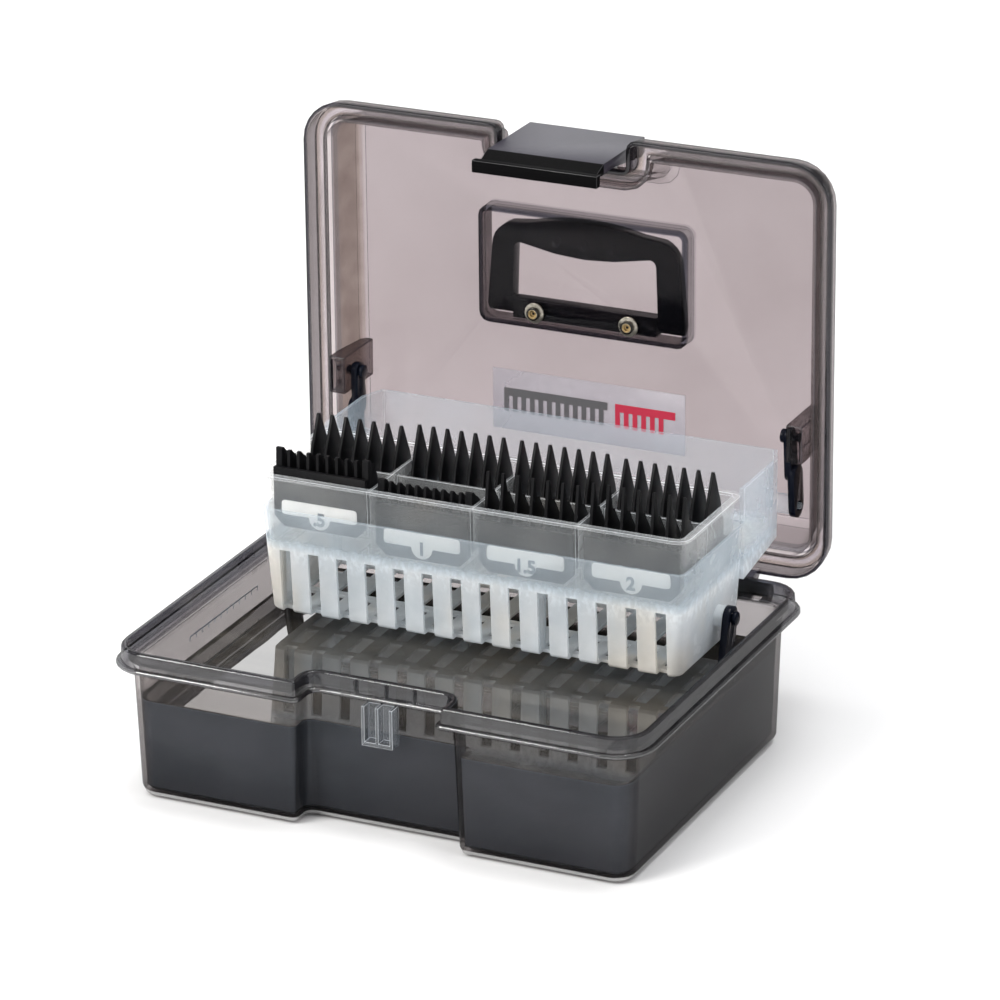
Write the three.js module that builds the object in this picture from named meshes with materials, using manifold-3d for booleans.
// A disinfecting and storage case for clipper guard combs: a clear smoky tub with a hinged lid.
// Links on both sides lift a basket of combs out of the tub as the lid opens. The lid stands open here.
// Millimetres, +X right, +Y back, +Z up. The origin is the middle of the tub's flat underside.
import * as THREE from 'three';
import { mergeVertices } from 'three/addons/utils/BufferGeometryUtils.js';
import Module from 'manifold-3d';

const wasm = await Module();
wasm.setup();

// ---- Driving dimensions ----
const GAP = 0.3; // between pieces that touch
const WALL = 2.2; // tub and lid
const THIN_WALL = 1.6; // basket and tray

const TUB = { halfWidth: 122.8, front: -90.3, back: 90.3, corner: 10, notchHalf: 40, notchY: -78.5 };
const TUB_DRAFT = 2.2; // how far the tub's walls lean outwards from foot to flange
const FLANGE = { halfWidth: 132.8, front: -100, back: 101.2, corner: 19, notchHalf: 33.5, notchY: -84.2 };
const FLANGE_Z = 64; // underside of the tub's flange
const LIP_Z = FLANGE_Z + 2.8; // top of the flange's thin lip
const TONGUE_Z = 74; // top of the tub's raised sealing edge

const LID_EDGE = { ...FLANGE, notchY: FLANGE.notchY - 0.8 };
const LID_GROW = 1.4; // how far the lid's skirt stands outside the tub's flange
const LID_RIM_Z = 67.4; // lid's rim plane, with the lid closed
const LID_TOP_Z = 100.3; // lid's outer face, with the lid closed
const HINGE = { y: 109.2, z: 62.2, centre: 92, radius: 4.8, pin: 1.6, bore: 2 };
const OPEN_ANGLE = -Math.PI / 2; // turns the closed lid to where it stands open

const POCKET = { halfWidth: 53.5, front: -52.6, back: 5.4, depth: 8.5, corner: 5 };
const HANDLE = { pivotZ: 174, y: 143.4, thickness: 7, legInner: 37.6, legOuter: 50.4, top: 220.5 };
const BAR_SCREW_X = 24.2;
const LATCH = { hingeY: -88.5, hingeZ: 92, halfWidth: 29.3, lipHalfWidth: 31.5, pin: 1.2 };

const LIFT = {
  lidPivot: { y: 122.6, z: 136.8 },
  basketPivot: { y: 125.6, z: 101.8 },
  tubPivot: { y: 40, z: 18 },
  armPivot: { y: 52.8, z: 72.4 },
};
const LINK = { thickness: 3.2, lower: 109.6, upperInner: 110.2, upperOuter: 112.4, width: 11.5 };
const BRACKET_INNER = 113.7;
const PIN_RADIUS = 1.8;
const PIN_BORE = 2.3;
const PEG_RADIUS = 1.5; // the basket's pegs run loose in the upper links
const PEG_BORE = 2.6;

const BASKET = { halfTop: 107.2, halfFloor: 104, floor: 56.5, top: 108, front: 8.8, back: 82 };
const BIN = { half: 107.4, back: 130.5, chamferY: 118, chamferX: 102.5, top: 126 };
const SLOTS = { count: 14, pitch: 14.6, width: 5.6, top: 88 };

const TRAY = { half: 105.4, front: 11.2, back: 74.8, floor: 88, rim: 124.5, rimGrow: 2.6 };
const COLUMNS = [-78.7, -26.2, 26.2, 78.7]; // centres of the tray's cells
const ROW_SPLIT = 43; // divider between the two rows of cells
const FRONT_ROW = 15; // front faces of the combs in each row
const REAR_ROW = 46.4;
const COMB = { width: 47.4, depth: 24, plate: 2, rail: 6, bottom: 92, railTop: 105, corner: 5 };

// ---- Materials ----
const plastic = (color, roughness, opacity = 1) =>
  new THREE.MeshStandardMaterial({ color, roughness, opacity, transparent: opacity < 1 });
const smoky = () => plastic(0x5b5d66, 0.15, 0.5);
const milky = () => plastic(0xdfe4ea, 0.35, 0.6);
const blackPlastic = () => plastic(0x141416, 0.45);
const sealRubber = () => plastic(0x24262c, 0.8);
const labelFilm = () => plastic(0xe9e4dc, 0.5);
const steel = () => new THREE.MeshStandardMaterial({ color: 0xb9b4a8, roughness: 0.25, metalness: 1 });

// ---- Solids ----
function toSolid(geometry) {
  const bare = geometry.clone();
  bare.deleteAttribute('normal');
  bare.deleteAttribute('uv');
  const merged = mergeVertices(bare, 1e-4);
  return new wasm.Manifold(
    new wasm.Mesh({
      numProp: 3,
      vertProperties: new Float32Array(merged.attributes.position.array),
      triVerts: new Uint32Array(merged.index.array),
    }),
  );
}

function toGeometry(solid) {
  const { vertProperties, triVerts } = solid.getMesh();
  const geometry = new THREE.BufferGeometry();
  geometry.setAttribute('position', new THREE.BufferAttribute(vertProperties, 3));
  geometry.setIndex(new THREE.BufferAttribute(triVerts, 1));
  geometry.computeVertexNormals();
  return geometry;
}

const join = (...pieces) => toGeometry(pieces.map(toSolid).reduce((all, piece) => all.add(piece)));

function cut(body, ...tools) {
  if (tools.length === 0) return body;
  return toGeometry(toSolid(body).subtract(toSolid(join(...tools))));
}

const common = (a, b) => toGeometry(toSolid(a).intersect(toSolid(b)));

// A box from its lowest to its highest corner.
function box(x0, x1, y0, y1, z0, z1) {
  const geometry = new THREE.BoxGeometry(x1 - x0, y1 - y0, z1 - z0);
  return geometry.translate((x0 + x1) / 2, (y0 + y1) / 2, (z0 + z1) / 2);
}

// A cylinder along X between two x values.
function barX(x0, x1, y, z, radius, sides = 16) {
  const geometry = new THREE.CylinderGeometry(radius, radius, Math.abs(x1 - x0), sides);
  return geometry.rotateZ(Math.PI / 2).translate((x0 + x1) / 2, y, z);
}

// A cylinder along Y between two y values.
function barY(x, y0, y1, z, radius, sides = 16) {
  const geometry = new THREE.CylinderGeometry(radius, radius, Math.abs(y1 - y0), sides);
  return geometry.translate(x, (y0 + y1) / 2, z);
}

function prism(points, depth) {
  const shape = new THREE.Shape(points.map(([u, v]) => new THREE.Vector2(u, v)));
  return new THREE.ExtrudeGeometry(shape, { depth, bevelEnabled: false });
}

// An outline in (y, z), extruded from x0 to x1.
function prismX(points, x0, x1) {
  const turn = new THREE.Matrix4().set(0, 0, 1, x0, 1, 0, 0, 0, 0, 1, 0, 0, 0, 0, 0, 1);
  return prism(points, x1 - x0).applyMatrix4(turn);
}

// An outline in (x, z), extruded from y0 to y1.
function prismY(points, y0, y1) {
  return prism(points, y1 - y0).rotateX(Math.PI / 2).translate(0, y1, 0);
}

// An outline in (x, y), extruded from z0 to z1.
const prismZ = (points, z0, z1) => prism(points, z1 - z0).translate(0, 0, z0);

// Points along an arc, angles in degrees.
function arc(x, y, radius, from, to, steps) {
  return Array.from({ length: steps + 1 }, (_, i) => {
    const angle = THREE.MathUtils.degToRad(from + ((to - from) * i) / steps);
    return [x + radius * Math.cos(angle), y + radius * Math.sin(angle)];
  });
}

function roundedRectangle(x0, x1, y0, y1, radius, steps = 3) {
  return [
    ...arc(x1 - radius, y0 + radius, radius, -90, 0, steps),
    ...arc(x1 - radius, y1 - radius, radius, 0, 90, steps),
    ...arc(x0 + radius, y1 - radius, radius, 90, 180, steps),
    ...arc(x0 + radius, y0 + radius, radius, 180, 270, steps),
  ];
}

// A flat bar's outline in (y, z) with round ends, between two pivots.
function linkOutline(a, b, radius, steps = 8) {
  const angle = THREE.MathUtils.radToDeg(Math.atan2(b.z - a.z, b.y - a.y));
  return [
    ...arc(b.y, b.z, radius, angle - 90, angle + 90, steps),
    ...arc(a.y, a.z, radius, angle + 90, angle + 270, steps),
  ];
}

// A closed skin over outlines that have the same number of points, each [outline, z].
function loft(levels) {
  const rings = levels.map(([outline, z]) => outline.map(([x, y]) => [x, y, z]));
  const count = rings[0].length;
  const index = [];
  for (let level = 0; level + 1 < rings.length; level += 1) {
    for (let i = 0; i < count; i += 1) {
      const next = (i + 1) % count;
      const [a, b] = [level * count, (level + 1) * count];
      index.push(a + i, a + next, b + next, a + i, b + next, b + i);
    }
  }
  const flat = (ring) => ring.map(([x, y]) => new THREE.Vector2(x, y));
  const faces = (ring) => THREE.ShapeUtils.triangulateShape(flat(ring), []);
  for (const [a, b, c] of faces(rings[0])) index.push(a, c, b);
  const last = (rings.length - 1) * count;
  for (const [a, b, c] of faces(rings.at(-1))) index.push(last + a, last + b, last + c);
  const geometry = new THREE.BufferGeometry();
  geometry.setAttribute('position', new THREE.Float32BufferAttribute(rings.flat(2), 3));
  geometry.setIndex(index);
  return geometry;
}

// The case's outline: a rounded rectangle with a shallow recess in the middle of its front.
// grow moves the whole outline outwards.
function caseOutline(size, grow = 0) {
  const [w, front, back] = [size.halfWidth + grow, size.front - grow, size.back + grow];
  const [half, y] = [size.notchHalf - grow, size.notchY - grow];
  const corner = Math.max(size.corner + grow, 3);
  const outer = Math.max(3.5 + grow, 1);
  const inner = Math.max(3.5 - grow, 1);
  return [
    ...arc(half - inner, y - inner, inner, 90, 0, 3),
    ...arc(half + outer, front + outer, outer, 180, 270, 3),
    ...arc(w - corner, front + corner, corner, -90, 0, 6),
    ...arc(w - corner, back - corner, corner, 0, 90, 6),
    ...arc(corner - w, back - corner, corner, 90, 180, 6),
    ...arc(corner - w, front + corner, corner, 180, 270, 6),
    ...arc(-half - outer, front + outer, outer, -90, 0, 3),
    ...arc(inner - half, y - inner, inner, 180, 90, 3),
  ];
}

const group = new THREE.Group();

function add(name, geometry, material, parent = group) {
  const mesh = new THREE.Mesh(geometry, material);
  mesh.name = name;
  parent.add(mesh);
  return mesh;
}

const SIDES = [
  ['left', -1],
  ['right', 1],
];

// A box or cylinder given for the right side, put on the side asked for.
const sideX = (side, a, b) => (side > 0 ? [a, b] : [-b, -a]);

// ---- Tub ----
function tubShell() {
  const wall = (grow) => caseOutline(TUB, grow);
  const flange = (grow) => caseOutline(FLANGE, grow);
  const edge = 4.5; // rounding between the underside and the walls
  return loft([
    [wall(-edge), 0],
    [wall(-1.3), 1.3],
    [wall(0), edge],
    [wall(TUB_DRAFT), FLANGE_Z],
    [flange(-1), FLANGE_Z + 0.2],
    [flange(0), FLANGE_Z + 1],
    [flange(0), LIP_Z - 0.8],
    [flange(-0.8), LIP_Z],
    [flange(-2.2), LIP_Z],
    [flange(-2.6), TONGUE_Z - 0.8],
    [flange(-3.3), TONGUE_Z],
    [flange(-4.9), TONGUE_Z],
    [flange(-5.6), TONGUE_Z - 0.8],
    [flange(-5.7), LIP_Z],
    [wall(TUB_DRAFT - WALL + 0.6), LIP_Z],
    [wall(TUB_DRAFT - WALL), LIP_Z - 0.6],
    [wall(-WALL), edge],
    [wall(-edge), WALL + 0.4],
  ]);
}

function tubKnuckle(x0, x1) {
  const arm = [
    [94, FLANGE_Z + 0.4],
    [HINGE.y - 1, HINGE.z - HINGE.radius + 0.1],
    [HINGE.y, HINGE.z],
    [HINGE.y - 1, HINGE.z + 4.2],
    [94, LIP_Z - 0.4],
  ];
  return join(prismX(arm, x0, x1), barX(x0, x1, HINGE.y, HINGE.z, HINGE.radius));
}

function tub() {
  const knuckles = SIDES.flatMap(([, side]) => [
    tubKnuckle(...sideX(side, HINGE.centre - 16, HINGE.centre - 7)),
    tubKnuckle(...sideX(side, HINGE.centre + 7, HINGE.centre + 16)),
  ]);
  const bores = SIDES.map(([, side]) =>
    barX(...sideX(side, HINGE.centre - 17, HINGE.centre + 17), HINGE.y, HINGE.z, HINGE.bore),
  );
  const stiffeners = [-13, 2, 16].map((x) =>
    box(x - 0.5, x + 0.5, FLANGE.notchY + 0.6, FLANGE.notchY + 3, LIP_Z - 0.4, TONGUE_Z - 1),
  );
  return cut(join(tubShell(), ...knuckles, ...stiffeners), ...bores);
}

function frontCatch() {
  const [back, front, bottom, top] = [-81, -88, 44.8, FLANGE_Z - GAP];
  const ribs = [-6.9, 0, 6.9].map((x) => box(x - 0.7, x + 0.7, front, back, bottom, top));
  const plate = box(-7.6, 7.6, back - 1.6, back, bottom, top);
  return join(plate, box(-7.6, 7.6, front, back, bottom, bottom + 1.8), ...ribs);
}

function tubBracket(side) {
  const { y, z } = LIFT.tubPivot;
  const body = box(...sideX(side, BRACKET_INNER, 120.4), y - 7, y + 7, z - 9, z + 9);
  return cut(body, barX(...sideX(side, BRACKET_INNER - 1, 121), y, z, PIN_BORE));
}

add('base_tub', tub(), smoky());
add('front_catch', frontCatch(), milky());
for (const [name, side] of SIDES) {
  add(`${name}_tub_bracket`, tubBracket(side), smoky());
  const reach = sideX(side, HINGE.centre - 15.6, HINGE.centre + 15.6);
  add(`${name}_hinge_pin`, barX(...reach, HINGE.y, HINGE.z, HINGE.pin), steel());
}

// ---- Lid, built closed and turned open about its hinge ----
const lidGroup = new THREE.Group();
const lidFrame = new THREE.Group();
lidGroup.position.set(0, HINGE.y, HINGE.z);
lidGroup.rotation.x = OPEN_ANGLE;
lidFrame.position.set(0, -HINGE.y, -HINGE.z);
lidGroup.add(lidFrame);
group.add(lidGroup);

function lidSkin() {
  const rim = (grow) => caseOutline(LID_EDGE, grow + LID_GROW);
  const wall = (grow) => caseOutline(TUB, grow);
  const ceiling = LID_TOP_Z - WALL;
  return loft([
    [wall(-6.5), ceiling],
    [wall(-2.7), ceiling - 3.2],
    [wall(0.4), LID_RIM_Z + 10.4],
    [rim(-10.6), LID_RIM_Z + 9],
    [rim(-10.6), LID_RIM_Z + 4],
    [rim(-8.8), LID_RIM_Z + 4],
    [rim(-8.6), LID_RIM_Z + 8.8],
    [rim(-2.3), LID_RIM_Z + 8.8],
    [rim(-2.2), LID_RIM_Z],
    [rim(-0.7), LID_RIM_Z],
    [rim(0), LID_RIM_Z + 0.7],
    [rim(-0.4), LID_RIM_Z + 4],
    [rim(-1), LID_RIM_Z + 9],
    [rim(-2), LID_RIM_Z + 10.6],
    [rim(-6), LID_RIM_Z + 11.4],
    [wall(2.6), LID_RIM_Z + 12.6],
    [wall(-0.6), LID_TOP_Z - 3.6],
    [wall(-2), LID_TOP_Z - 1.2],
    [wall(-4.6), LID_TOP_Z],
  ]);
}

function pocketOutline(inset) {
  const { halfWidth, front, back, corner } = POCKET;
  return roundedRectangle(inset - halfWidth, halfWidth - inset, front + inset, back - inset, corner - inset);
}

function lidShell() {
  const floor = LID_TOP_Z - POCKET.depth;
  const pocketBody = prismZ(pocketOutline(0), floor - WALL, LID_TOP_Z - 1);
  const pocketSpace = prismZ(pocketOutline(WALL), floor, LID_TOP_Z + 1);
  const screwHoles = [-BAR_SCREW_X, BAR_SCREW_X].map((x) =>
    new THREE.CylinderGeometry(2.4, 2.4, 8, 12).rotateX(Math.PI / 2).translate(x, lidY(HANDLE.pivotZ), floor),
  );
  const arms = SIDES.map(([, side]) => {
    const [x0, x1] = sideX(side, HINGE.centre - 6.4, HINGE.centre + 6.4);
    const arm = [
      [100.5, LID_RIM_Z + 1],
      [HINGE.y - 4, HINGE.z + 1],
      [HINGE.y, HINGE.z],
      [HINGE.y + 4, HINGE.z + 2],
      [104.5, LID_RIM_Z + 6],
      [100.5, LID_RIM_Z + 6],
    ];
    return join(prismX(arm, x0, x1), barX(x0, x1, HINGE.y, HINGE.z, HINGE.radius));
  });
  const lugs = [-21, 21].map((x) => {
    const lug = [
      [-76, LATCH.hingeZ - 6],
      [LATCH.hingeY - 0.5, LATCH.hingeZ - 2.8],
      [LATCH.hingeY - 2.8, LATCH.hingeZ],
      [LATCH.hingeY - 0.5, LATCH.hingeZ + 2.8],
      [-76, LATCH.hingeZ + 2.8],
    ];
    return prismX(lug, x - 2, x + 2);
  });
  const hingeBores = SIDES.map(([, side]) =>
    barX(...sideX(side, HINGE.centre - 7, HINGE.centre + 7), HINGE.y, HINGE.z, HINGE.bore),
  );
  const latchBore = barX(-24, 24, LATCH.hingeY, LATCH.hingeZ, LATCH.pin + 0.4, 12);
  const solid = join(lidSkin(), pocketBody, ...arms, ...lugs);
  return cut(solid, pocketSpace, ...screwHoles, ...hingeBores, latchBore);
}

// A height on the open lid, as the y it has when the lid is closed.
function lidY(openZ) {
  return HINGE.y + HINGE.z - openZ;
}

function lidSeal() {
  const outer = caseOutline(LID_EDGE, LID_GROW - 2.7);
  const inner = caseOutline(LID_EDGE, LID_GROW - 8.1);
  const [bottom, top] = [TONGUE_Z + 0.4, LID_RIM_Z + 8.5];
  return cut(prismZ(outer, bottom, top), prismZ(inner, bottom - 1, top + 1));
}

function latchFlap() {
  const { hingeY, hingeZ, halfWidth, lipHalfWidth, pin } = LATCH;
  const face = -94.4;
  const plate = [
    [face, 96.6],
    [face - 0.6, 49.5],
    [face + 2.4, 40.8],
    [face + 2.4, 37],
    [-88, 37],
    [-88, 42],
    [-91, 44],
    [-91.6, 50],
    [-91.6, 84],
    [hingeY + 2.4, 88.6],
    [hingeY + 3.1, hingeZ + 1],
    [hingeY + 1.6, 96.6],
  ];
  const lip = [
    [face + 1.4, 40.4],
    [face + 1.4, 36.6],
    [-87.2, 36.6],
    [-87.2, 40.4],
  ];
  const webs = [-halfWidth + 1.2, -9, 9, halfWidth - 1.2].map((x) =>
    prismX(
      [
        [-92, 46],
        [-90, 46],
        [-90, 62],
        [hingeY + 2, 86],
        [-92, 88],
      ],
      x - 1.2,
      x + 1.2,
    ),
  );
  const lugSpaces = [-21, 21].map((x) => box(x - 2.8, x + 2.8, -92.2, -80, hingeZ - 8, 99));
  const body = join(prismX(plate, -halfWidth, halfWidth), prismX(lip, -lipHalfWidth, lipHalfWidth), ...webs);
  return cut(body, ...lugSpaces, barX(-26, 26, hingeY, hingeZ, pin + 0.4, 12));
}

add('lid_shell', lidShell(), smoky(), lidFrame);
add('lid_seal', lidSeal(), sealRubber(), lidFrame);
add('latch_flap', latchFlap(), blackPlastic(), lidFrame);
add('latch_pin', barX(-25.4, 25.4, LATCH.hingeY, LATCH.hingeZ, LATCH.pin, 12), steel(), lidFrame);

// ---- Handle and its bar, in the pocket outside the open lid ----
function handle() {
  const { pivotZ, y, thickness, legInner, legOuter, top } = HANDLE;
  const half = thickness / 2;
  const grip = [
    [legOuter, pivotZ],
    ...arc(legOuter - 15, top - 16.5, 12.5, 0, 72, 5),
    ...arc(0, top - 118, 118, 76, 104, 8),
    ...arc(15 - legOuter, top - 16.5, 12.5, 108, 180, 5),
    [-legOuter, pivotZ],
    [-legInner, pivotZ],
    ...arc(-legInner + 4.5, 203.4, 3.5, 180, 100, 3),
    [-15, 203.4],
    [0, 202.4],
    [15, 203.4],
    ...arc(legInner - 4.5, 203.4, 3.5, 80, 0, 3),
    [legInner, pivotZ],
  ];
  const body = prismY(grip.reverse(), y - half, y + half);
  const ends = SIDES.flatMap(([, side]) => [
    barX(...sideX(side, legInner, legOuter - 0.4), y, pivotZ, half),
    barX(...sideX(side, legInner - 4, legInner + 2), y, pivotZ, 1.8, 12),
  ]);
  const bosses = [-14, 0, 14].map((x) => barY(x, y - half - 0.5, y, 210.4, 2, 12));
  return join(body, ...ends, ...bosses);
}

function handleBar() {
  const { pivotZ, y, legInner } = HANDLE;
  const [near, far] = [lidOpenY(LID_TOP_Z - POCKET.depth) + GAP, y + 2.6];
  const end = legInner - 0.6;
  const body = box(-end, end, near, far, pivotZ - 4.8, pivotZ + 4.8);
  const channel = box(-18, 18, near + 2, far + 1, pivotZ - 2.6, pivotZ + 2.6);
  const sockets = SIDES.map(([, side]) => barX(...sideX(side, end - 4.4, end + 1), y, pivotZ, 2.3, 12));
  const screwHoles = [-BAR_SCREW_X, BAR_SCREW_X].map((x) => barY(x, near - 1, near + 4.4, pivotZ, 2, 12));
  return cut(body, channel, ...sockets, ...screwHoles);
}

// A height above the closed lid's hinge, as the y it has when the lid stands open.
function lidOpenY(closedZ) {
  return HINGE.y + closedZ - HINGE.z;
}

function barScrew(x) {
  const inside = lidOpenY(LID_TOP_Z - POCKET.depth - WALL) - GAP;
  const washer = barY(x, inside - 1, inside, HANDLE.pivotZ, 5);
  const head = barY(x, inside - 3, inside - 0.5, HANDLE.pivotZ, 3.2);
  const shank = barY(x, inside - 1, inside + 6.6, HANDLE.pivotZ, 1.6, 12);
  const socket = barY(x, inside - 4, inside - 1.8, HANDLE.pivotZ, 1.4, 6);
  return cut(join(washer, head, shank), socket);
}

add('carry_handle', handle(), blackPlastic());
add('handle_bar', handleBar(), blackPlastic());
add('left_bar_screw', barScrew(-BAR_SCREW_X), steel());
add('right_bar_screw', barScrew(BAR_SCREW_X), steel());

// ---- Blank label on the inside of the open lid ----
add('lid_label', box(-50, 50, 143.6, 144.2, 110, 140.5), labelFilm());

// ---- Lid brackets ----
function lidBracket(side) {
  const { y, z } = LIFT.lidPivot;
  const outline = [
    [BRACKET_INNER, 112.6],
    [121.8, 112.6],
    [121.8, 121],
    [119.2, 141],
    [117, 143.6],
    [BRACKET_INNER, 143.6],
  ];
  const half = 9.2;
  const mirrored = outline.map(([u, v]) => [side * u, v]);
  const body = prismZ(side > 0 ? mirrored : mirrored.reverse(), z - half, z + half);
  const rim = half - 1.6;
  const recess = box(...sideX(side, BRACKET_INNER + 1.2, 120.6), 111.6, 113.4, z - rim, z + rim);
  const dowels = [z - 3.6, z + 3.6].map((height) => barY(side * 117.4, 112, 116, height, 1, 8));
  const bore = barX(...sideX(side, BRACKET_INNER - 1, BRACKET_INNER + 3.4), y, z, PIN_BORE);
  return cut(body, recess, bore, ...dowels);
}

for (const [name, side] of SIDES) add(`${name}_lid_bracket`, lidBracket(side), smoky());

// ---- Links and their pins ----
function lowerLink(side) {
  const { tubPivot, armPivot } = LIFT;
  const reach = sideX(side, LINK.lower, LINK.lower + LINK.thickness);
  const body = prismX(linkOutline(tubPivot, armPivot, LINK.width / 2), ...reach);
  const bores = [tubPivot, armPivot].map(({ y, z }) =>
    barX(...sideX(side, LINK.lower - 1, LINK.lower + LINK.thickness + 1), y, z, PIN_BORE),
  );
  return cut(body, ...bores);
}

// The upper link is cranked: its lid end lies inside its basket end.
function upperLink(side) {
  const { lidPivot, basketPivot } = LIFT;
  const crank = { y: 124.2, z: 118.8 };
  const upper = sideX(side, LINK.upperInner, LINK.upperInner + LINK.thickness);
  const lower = sideX(side, LINK.upperOuter, LINK.upperOuter + LINK.thickness);
  const body = join(
    prismX(linkOutline(crank, lidPivot, 4.4), ...upper),
    prismX(linkOutline(basketPivot, { y: crank.y, z: crank.z - 1.9 }, LINK.width / 2), ...lower),
  );
  const lidBore = barX(...sideX(side, 109, 114.4), lidPivot.y, lidPivot.z, PIN_BORE);
  const basketBore = barX(...sideX(side, 111, 117), basketPivot.y, basketPivot.z, PEG_BORE);
  return cut(body, lidBore, basketBore);
}

// A pin along X with a round head at one end.
function pivotPin(side, { y, z }, headFrom, headTo, shankEnd) {
  const head = barX(...sideX(side, Math.min(headFrom, headTo), Math.max(headFrom, headTo)), y, z, 3.3);
  const [a, b] = [Math.min(headFrom, shankEnd), Math.max(headFrom, shankEnd)];
  return join(head, barX(...sideX(side, a, b), y, z, PIN_RADIUS, 12));
}

for (const [name, side] of SIDES) {
  add(`${name}_upper_link`, upperLink(side), blackPlastic());
  add(`${name}_lower_link`, lowerLink(side), blackPlastic());
  add(`${name}_lid_pivot_screw`, pivotPin(side, LIFT.lidPivot, 109.8, 107.9, 116.8), steel());
  add(`${name}_tub_pivot_screw`, pivotPin(side, LIFT.tubPivot, 109.2, 107.4, 117.6), steel());
  add(`${name}_arm_pivot_screw`, pivotPin(side, LIFT.armPivot, 113.2, 115, 104.6), steel());
}

// ---- Basket ----
function basketLevels(inset) {
  const { halfTop, halfFloor, floor, top, front, back } = BASKET;
  const bottom = floor + (inset ? THIN_WALL : 0);
  const corner = 5 - inset;
  const level = (half, y0, y1) =>
    roundedRectangle(inset - half, half - inset, y0 + inset, y1 - inset, corner);
  return loft([
    [level(halfFloor - 1.2, front + 4.2, back - 2.8), bottom],
    [level(halfFloor, front + 3, back - 1.6), bottom + 1.4],
    [level(halfTop, front, back), top],
    ...(inset ? [[level(halfTop, front, back), BIN.top + 1]] : []),
  ]);
}

function binBody(inset) {
  const { half, back, chamferY, chamferX, top } = BIN;
  const outline = [
    [-half + inset, 78 + 3 * inset],
    [half - inset, 78 + 3 * inset],
    [half - inset, chamferY - inset / 3],
    [chamferX - inset, back - inset],
    [inset - chamferX, back - inset],
    [inset - half, chamferY - inset / 3],
  ];
  const profile = [
    [70, 80 + inset],
    [back + 3, 90 + inset],
    [back + 3, top + (inset ? 1 : 0)],
    [70, top + (inset ? 1 : 0)],
  ];
  return common(prismZ(outline, 70, top + 2), prismX(profile, -half - 1, half + 1));
}

function basketSlots() {
  const { count, pitch, width, top } = SLOTS;
  const floorWindows = [
    [20, 37],
    [41, 58],
    [62, 75],
  ];
  return Array.from({ length: count }, (_, i) => {
    const x = (i - (count - 1) / 2) * pitch;
    const windows = floorWindows.map(([y0, y1]) => box(x - 3.4, x + 3.4, y0, y1, 50, BASKET.floor + 3));
    return [box(x - width / 2, x + width / 2, 5, 16, 50, top), ...windows];
  }).flat();
}

function liftBasket() {
  const { armPivot, basketPivot } = LIFT;
  const lowered = box(-105.7, 105.7, 79, 83.1, BASKET.top, BIN.top + 2);
  const wall = 102.4; // bosses and pegs start inside the basket's side wall
  const pegEnd = LINK.upperOuter + LINK.thickness + 1;
  const bosses = SIDES.flatMap(([, side]) => [
    barX(...sideX(side, wall, LINK.lower - 0.4), armPivot.y, armPivot.z, 5.2),
    barX(...sideX(side, wall, LINK.upperOuter - 0.5), basketPivot.y, basketPivot.z, 4.6),
    barX(...sideX(side, wall, pegEnd), basketPivot.y, basketPivot.z, PEG_RADIUS, 12),
  ]);
  const posts = [-100.4, -32.8, 32.8, 100.4].flatMap((x) =>
    [17.4, 75.2].map((y) => box(x - 1.4, x + 1.4, y - 1.8, y + 1.8, BASKET.floor + 1, TRAY.floor - GAP)),
  );
  const outside = join(basketLevels(0), binBody(0));
  const hollow = cut(outside, basketLevels(THIN_WALL), binBody(THIN_WALL), lowered);
  const screwBores = SIDES.map(([, side]) =>
    barX(...sideX(side, 103, LINK.lower + 1), armPivot.y, armPivot.z, PIN_BORE - 0.1, 12),
  );
  return cut(join(hollow, ...bosses, ...posts), ...screwBores, ...basketSlots());
}

add('lift_basket', liftBasket(), milky());

// ---- Tray with a cell for each comb ----
function combTray() {
  const { half, front, back, floor, rim, rimGrow } = TRAY;
  const outline = (grow) => roundedRectangle(-half - grow, half + grow, front - grow, back + grow, 4 + grow);
  const level = (grow, z) => [outline(grow), z];
  const shell = loft([
    level(-1.2, floor),
    level(0, rim - 1.6),
    level(rimGrow, rim - 1.4),
    level(rimGrow, rim),
    level(-1, rim),
    level(-THIN_WALL, rim - 1.4),
    level(-THIN_WALL - 1, floor + THIN_WALL),
  ]);
  const dividers = [-52.5, 0, 52.5].map((x) =>
    box(x - 0.7, x + 0.7, front + 1, back - 1, floor + 1, rim - 1.6),
  );
  const split = box(-half + 1.5, half - 1.5, ROW_SPLIT - 0.7, ROW_SPLIT + 0.7, floor + 1, rim - 4);
  const drains = COLUMNS.flatMap((x) =>
    [
      [17, 38],
      [49, 70],
    ].map(([y0, y1]) => box(x - 18, x + 18, y0, y1, floor - 1, floor + 3)),
  );
  return cut(join(shell, ...dividers, split), ...drains);
}

add('comb_tray', combTray(), milky());

// ---- Combs ----
// Tooth outlines in (y from the comb's front, z), from inside the rail up to the tip.
const TOOTH_ROOT = 104;

const tallTooth = (tip) => [
  [1, TOOTH_ROOT],
  [23, TOOTH_ROOT],
  [23, 112],
  [19.2, 124],
  [12.3, tip],
  [11.2, tip],
  [4.2, 124],
  [1, 112],
];

const bladedTooth = (tip) => [
  [1, TOOTH_ROOT],
  [22, TOOTH_ROOT],
  [20, 118],
  [13.6, 127.6],
  [11.6, 128],
  [9, tip],
  [8, tip],
  [5.4, 122],
  [1, 112],
];

const shortTooth = (tip) => [
  [1, TOOTH_ROOT],
  [20, TOOTH_ROOT],
  [16, 118],
  [9.6, tip - 3.4],
  [8, tip - 2.6],
  [5.2, tip],
  [3.4, tip],
  [2.6, 116],
];

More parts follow.
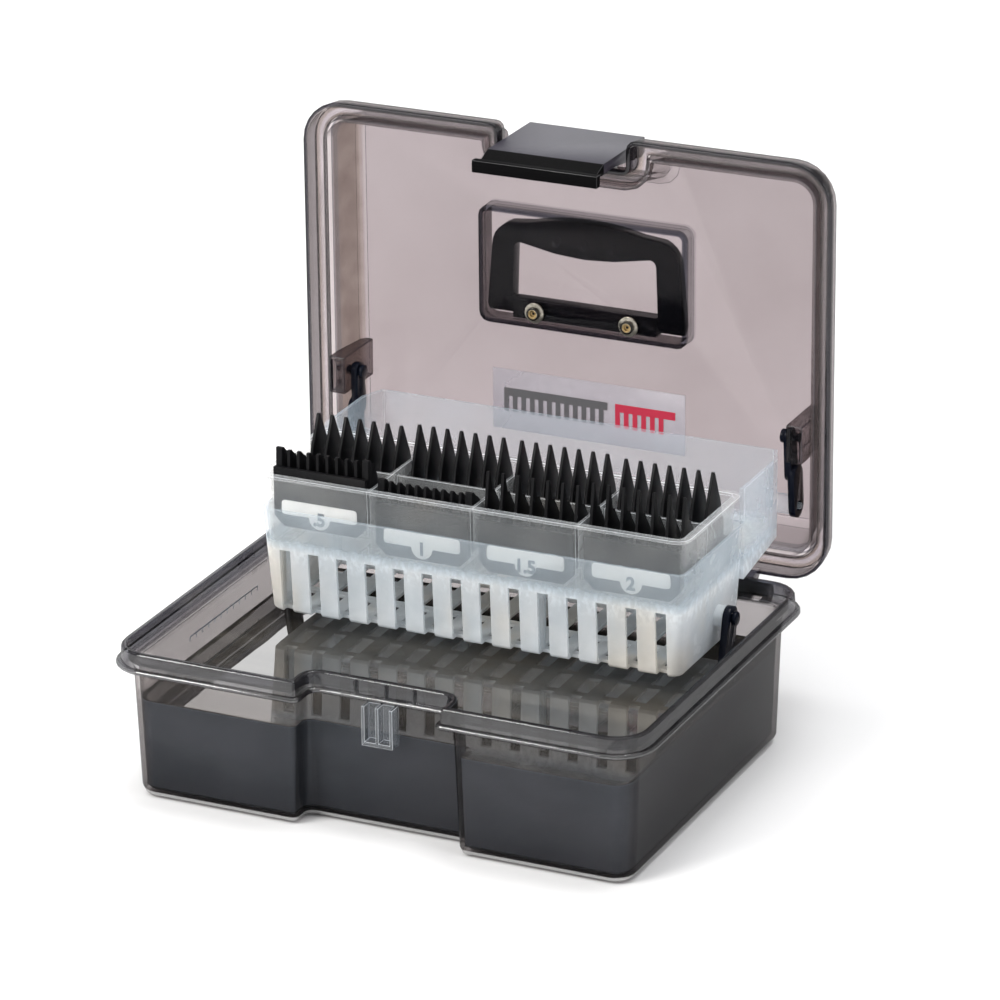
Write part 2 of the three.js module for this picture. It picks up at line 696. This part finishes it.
// The teeth share the span evenly. The two end teeth are as thick as post, and lift raises the comb.
const BLADE = 1.5;
const raised = { tooth: shortTooth, teeth: 10, span: 46, post: 3.2, lift: 6, face: 127 };
const short = { tooth: shortTooth, teeth: 11, span: 46, post: 3.6, lift: 0, face: 117 };
const bladed = { tooth: bladedTooth, teeth: 7, span: 46.4, post: BLADE, lift: 0, face: 117 };
const tall = { tooth: tallTooth, teeth: 7, span: 44.6, post: BLADE, lift: 0, face: 117 };

const COMBS = [
  { size: 'half', column: 0, row: FRONT_ROW, tip: 134.6, ...raised },
  { size: '1', column: 1, row: FRONT_ROW, tip: 127, ...short },
  { size: '1_5', column: 2, row: FRONT_ROW, tip: 138, ...bladed },
  { size: '2', column: 3, row: FRONT_ROW, tip: 140.4, ...bladed },
  { size: '3', column: 0, row: REAR_ROW, tip: 139, ...tall },
  { size: '4', column: 1, row: REAR_ROW, tip: 141, ...tall },
  { size: '6', column: 2, row: REAR_ROW, tip: 141, ...tall },
  { size: '8', column: 3, row: REAR_ROW, tip: 140, ...tall },
];

function guardComb({ column, row, tooth, teeth, tip, span, post, lift, face }) {
  const { width, depth, plate, rail, bottom, railTop, corner } = COMB;
  const x = COLUMNS[column];
  const [left, right] = [x - width / 2, x + width / 2];
  const [low, top] = [bottom + lift, railTop + lift];
  const facePlate = prismY(
    [
      [left + corner, low],
      [right - corner, low],
      [right, low + corner],
      [right, face],
      [left, face],
      [left, low + corner],
    ],
    row,
    row + plate,
  );
  const base = box(left, right, row, row + depth, top - rail, top);
  const throat = box(left + 6, right - 6, row + 6, row + depth - 5, top - rail - 1, top - 2.2);
  const firstTooth = x - (span - BLADE) / 2;
  const pitch = (span - BLADE) / (teeth - 1);
  const blades = Array.from({ length: teeth }, (_, i) => {
    const middle = firstTooth + i * pitch;
    const isEnd = i === 0 || i === teeth - 1;
    const half = (isEnd ? post : BLADE) / 2;
    const outline = tooth(isEnd && post > BLADE ? tip + 0.8 : tip);
    const placed = outline.map(([y, z]) => [row + y, z === TOOTH_ROOT ? z + lift : z]);
    return prismX(placed, middle - half, middle + half);
  });
  return cut(join(facePlate, base, ...blades), throat);
}

// A rounded strip with a half-round tab in the middle of its lower edge.
function combLabel({ column, row, lift }) {
  const x = COLUMNS[column];
  const [top, height, half, tab] = [COMB.railTop + 0.5 + lift, 7, 19.4, 5.4];
  const outline = [
    ...arc(x + half - 1.5, top - 1.5, 1.5, 0, 90, 2),
    ...arc(x - half + 1.5, top - 1.5, 1.5, 90, 180, 2),
    ...arc(x - half + 1.5, top - height + 1.5, 1.5, 180, 270, 2),
    ...arc(x, top - height, tab, 180, 360, 8),
    ...arc(x + half - 1.5, top - height + 1.5, 1.5, -90, 0, 2),
  ];
  return prismY(outline, row - GAP - 0.6, row - GAP);
}

for (const comb of COMBS) {
  add(`comb_size_${comb.size}`, guardComb(comb), blackPlastic());
  if (comb.row === FRONT_ROW) add(`label_size_${comb.size}`, combLabel(comb), labelFilm());
}

export default group;
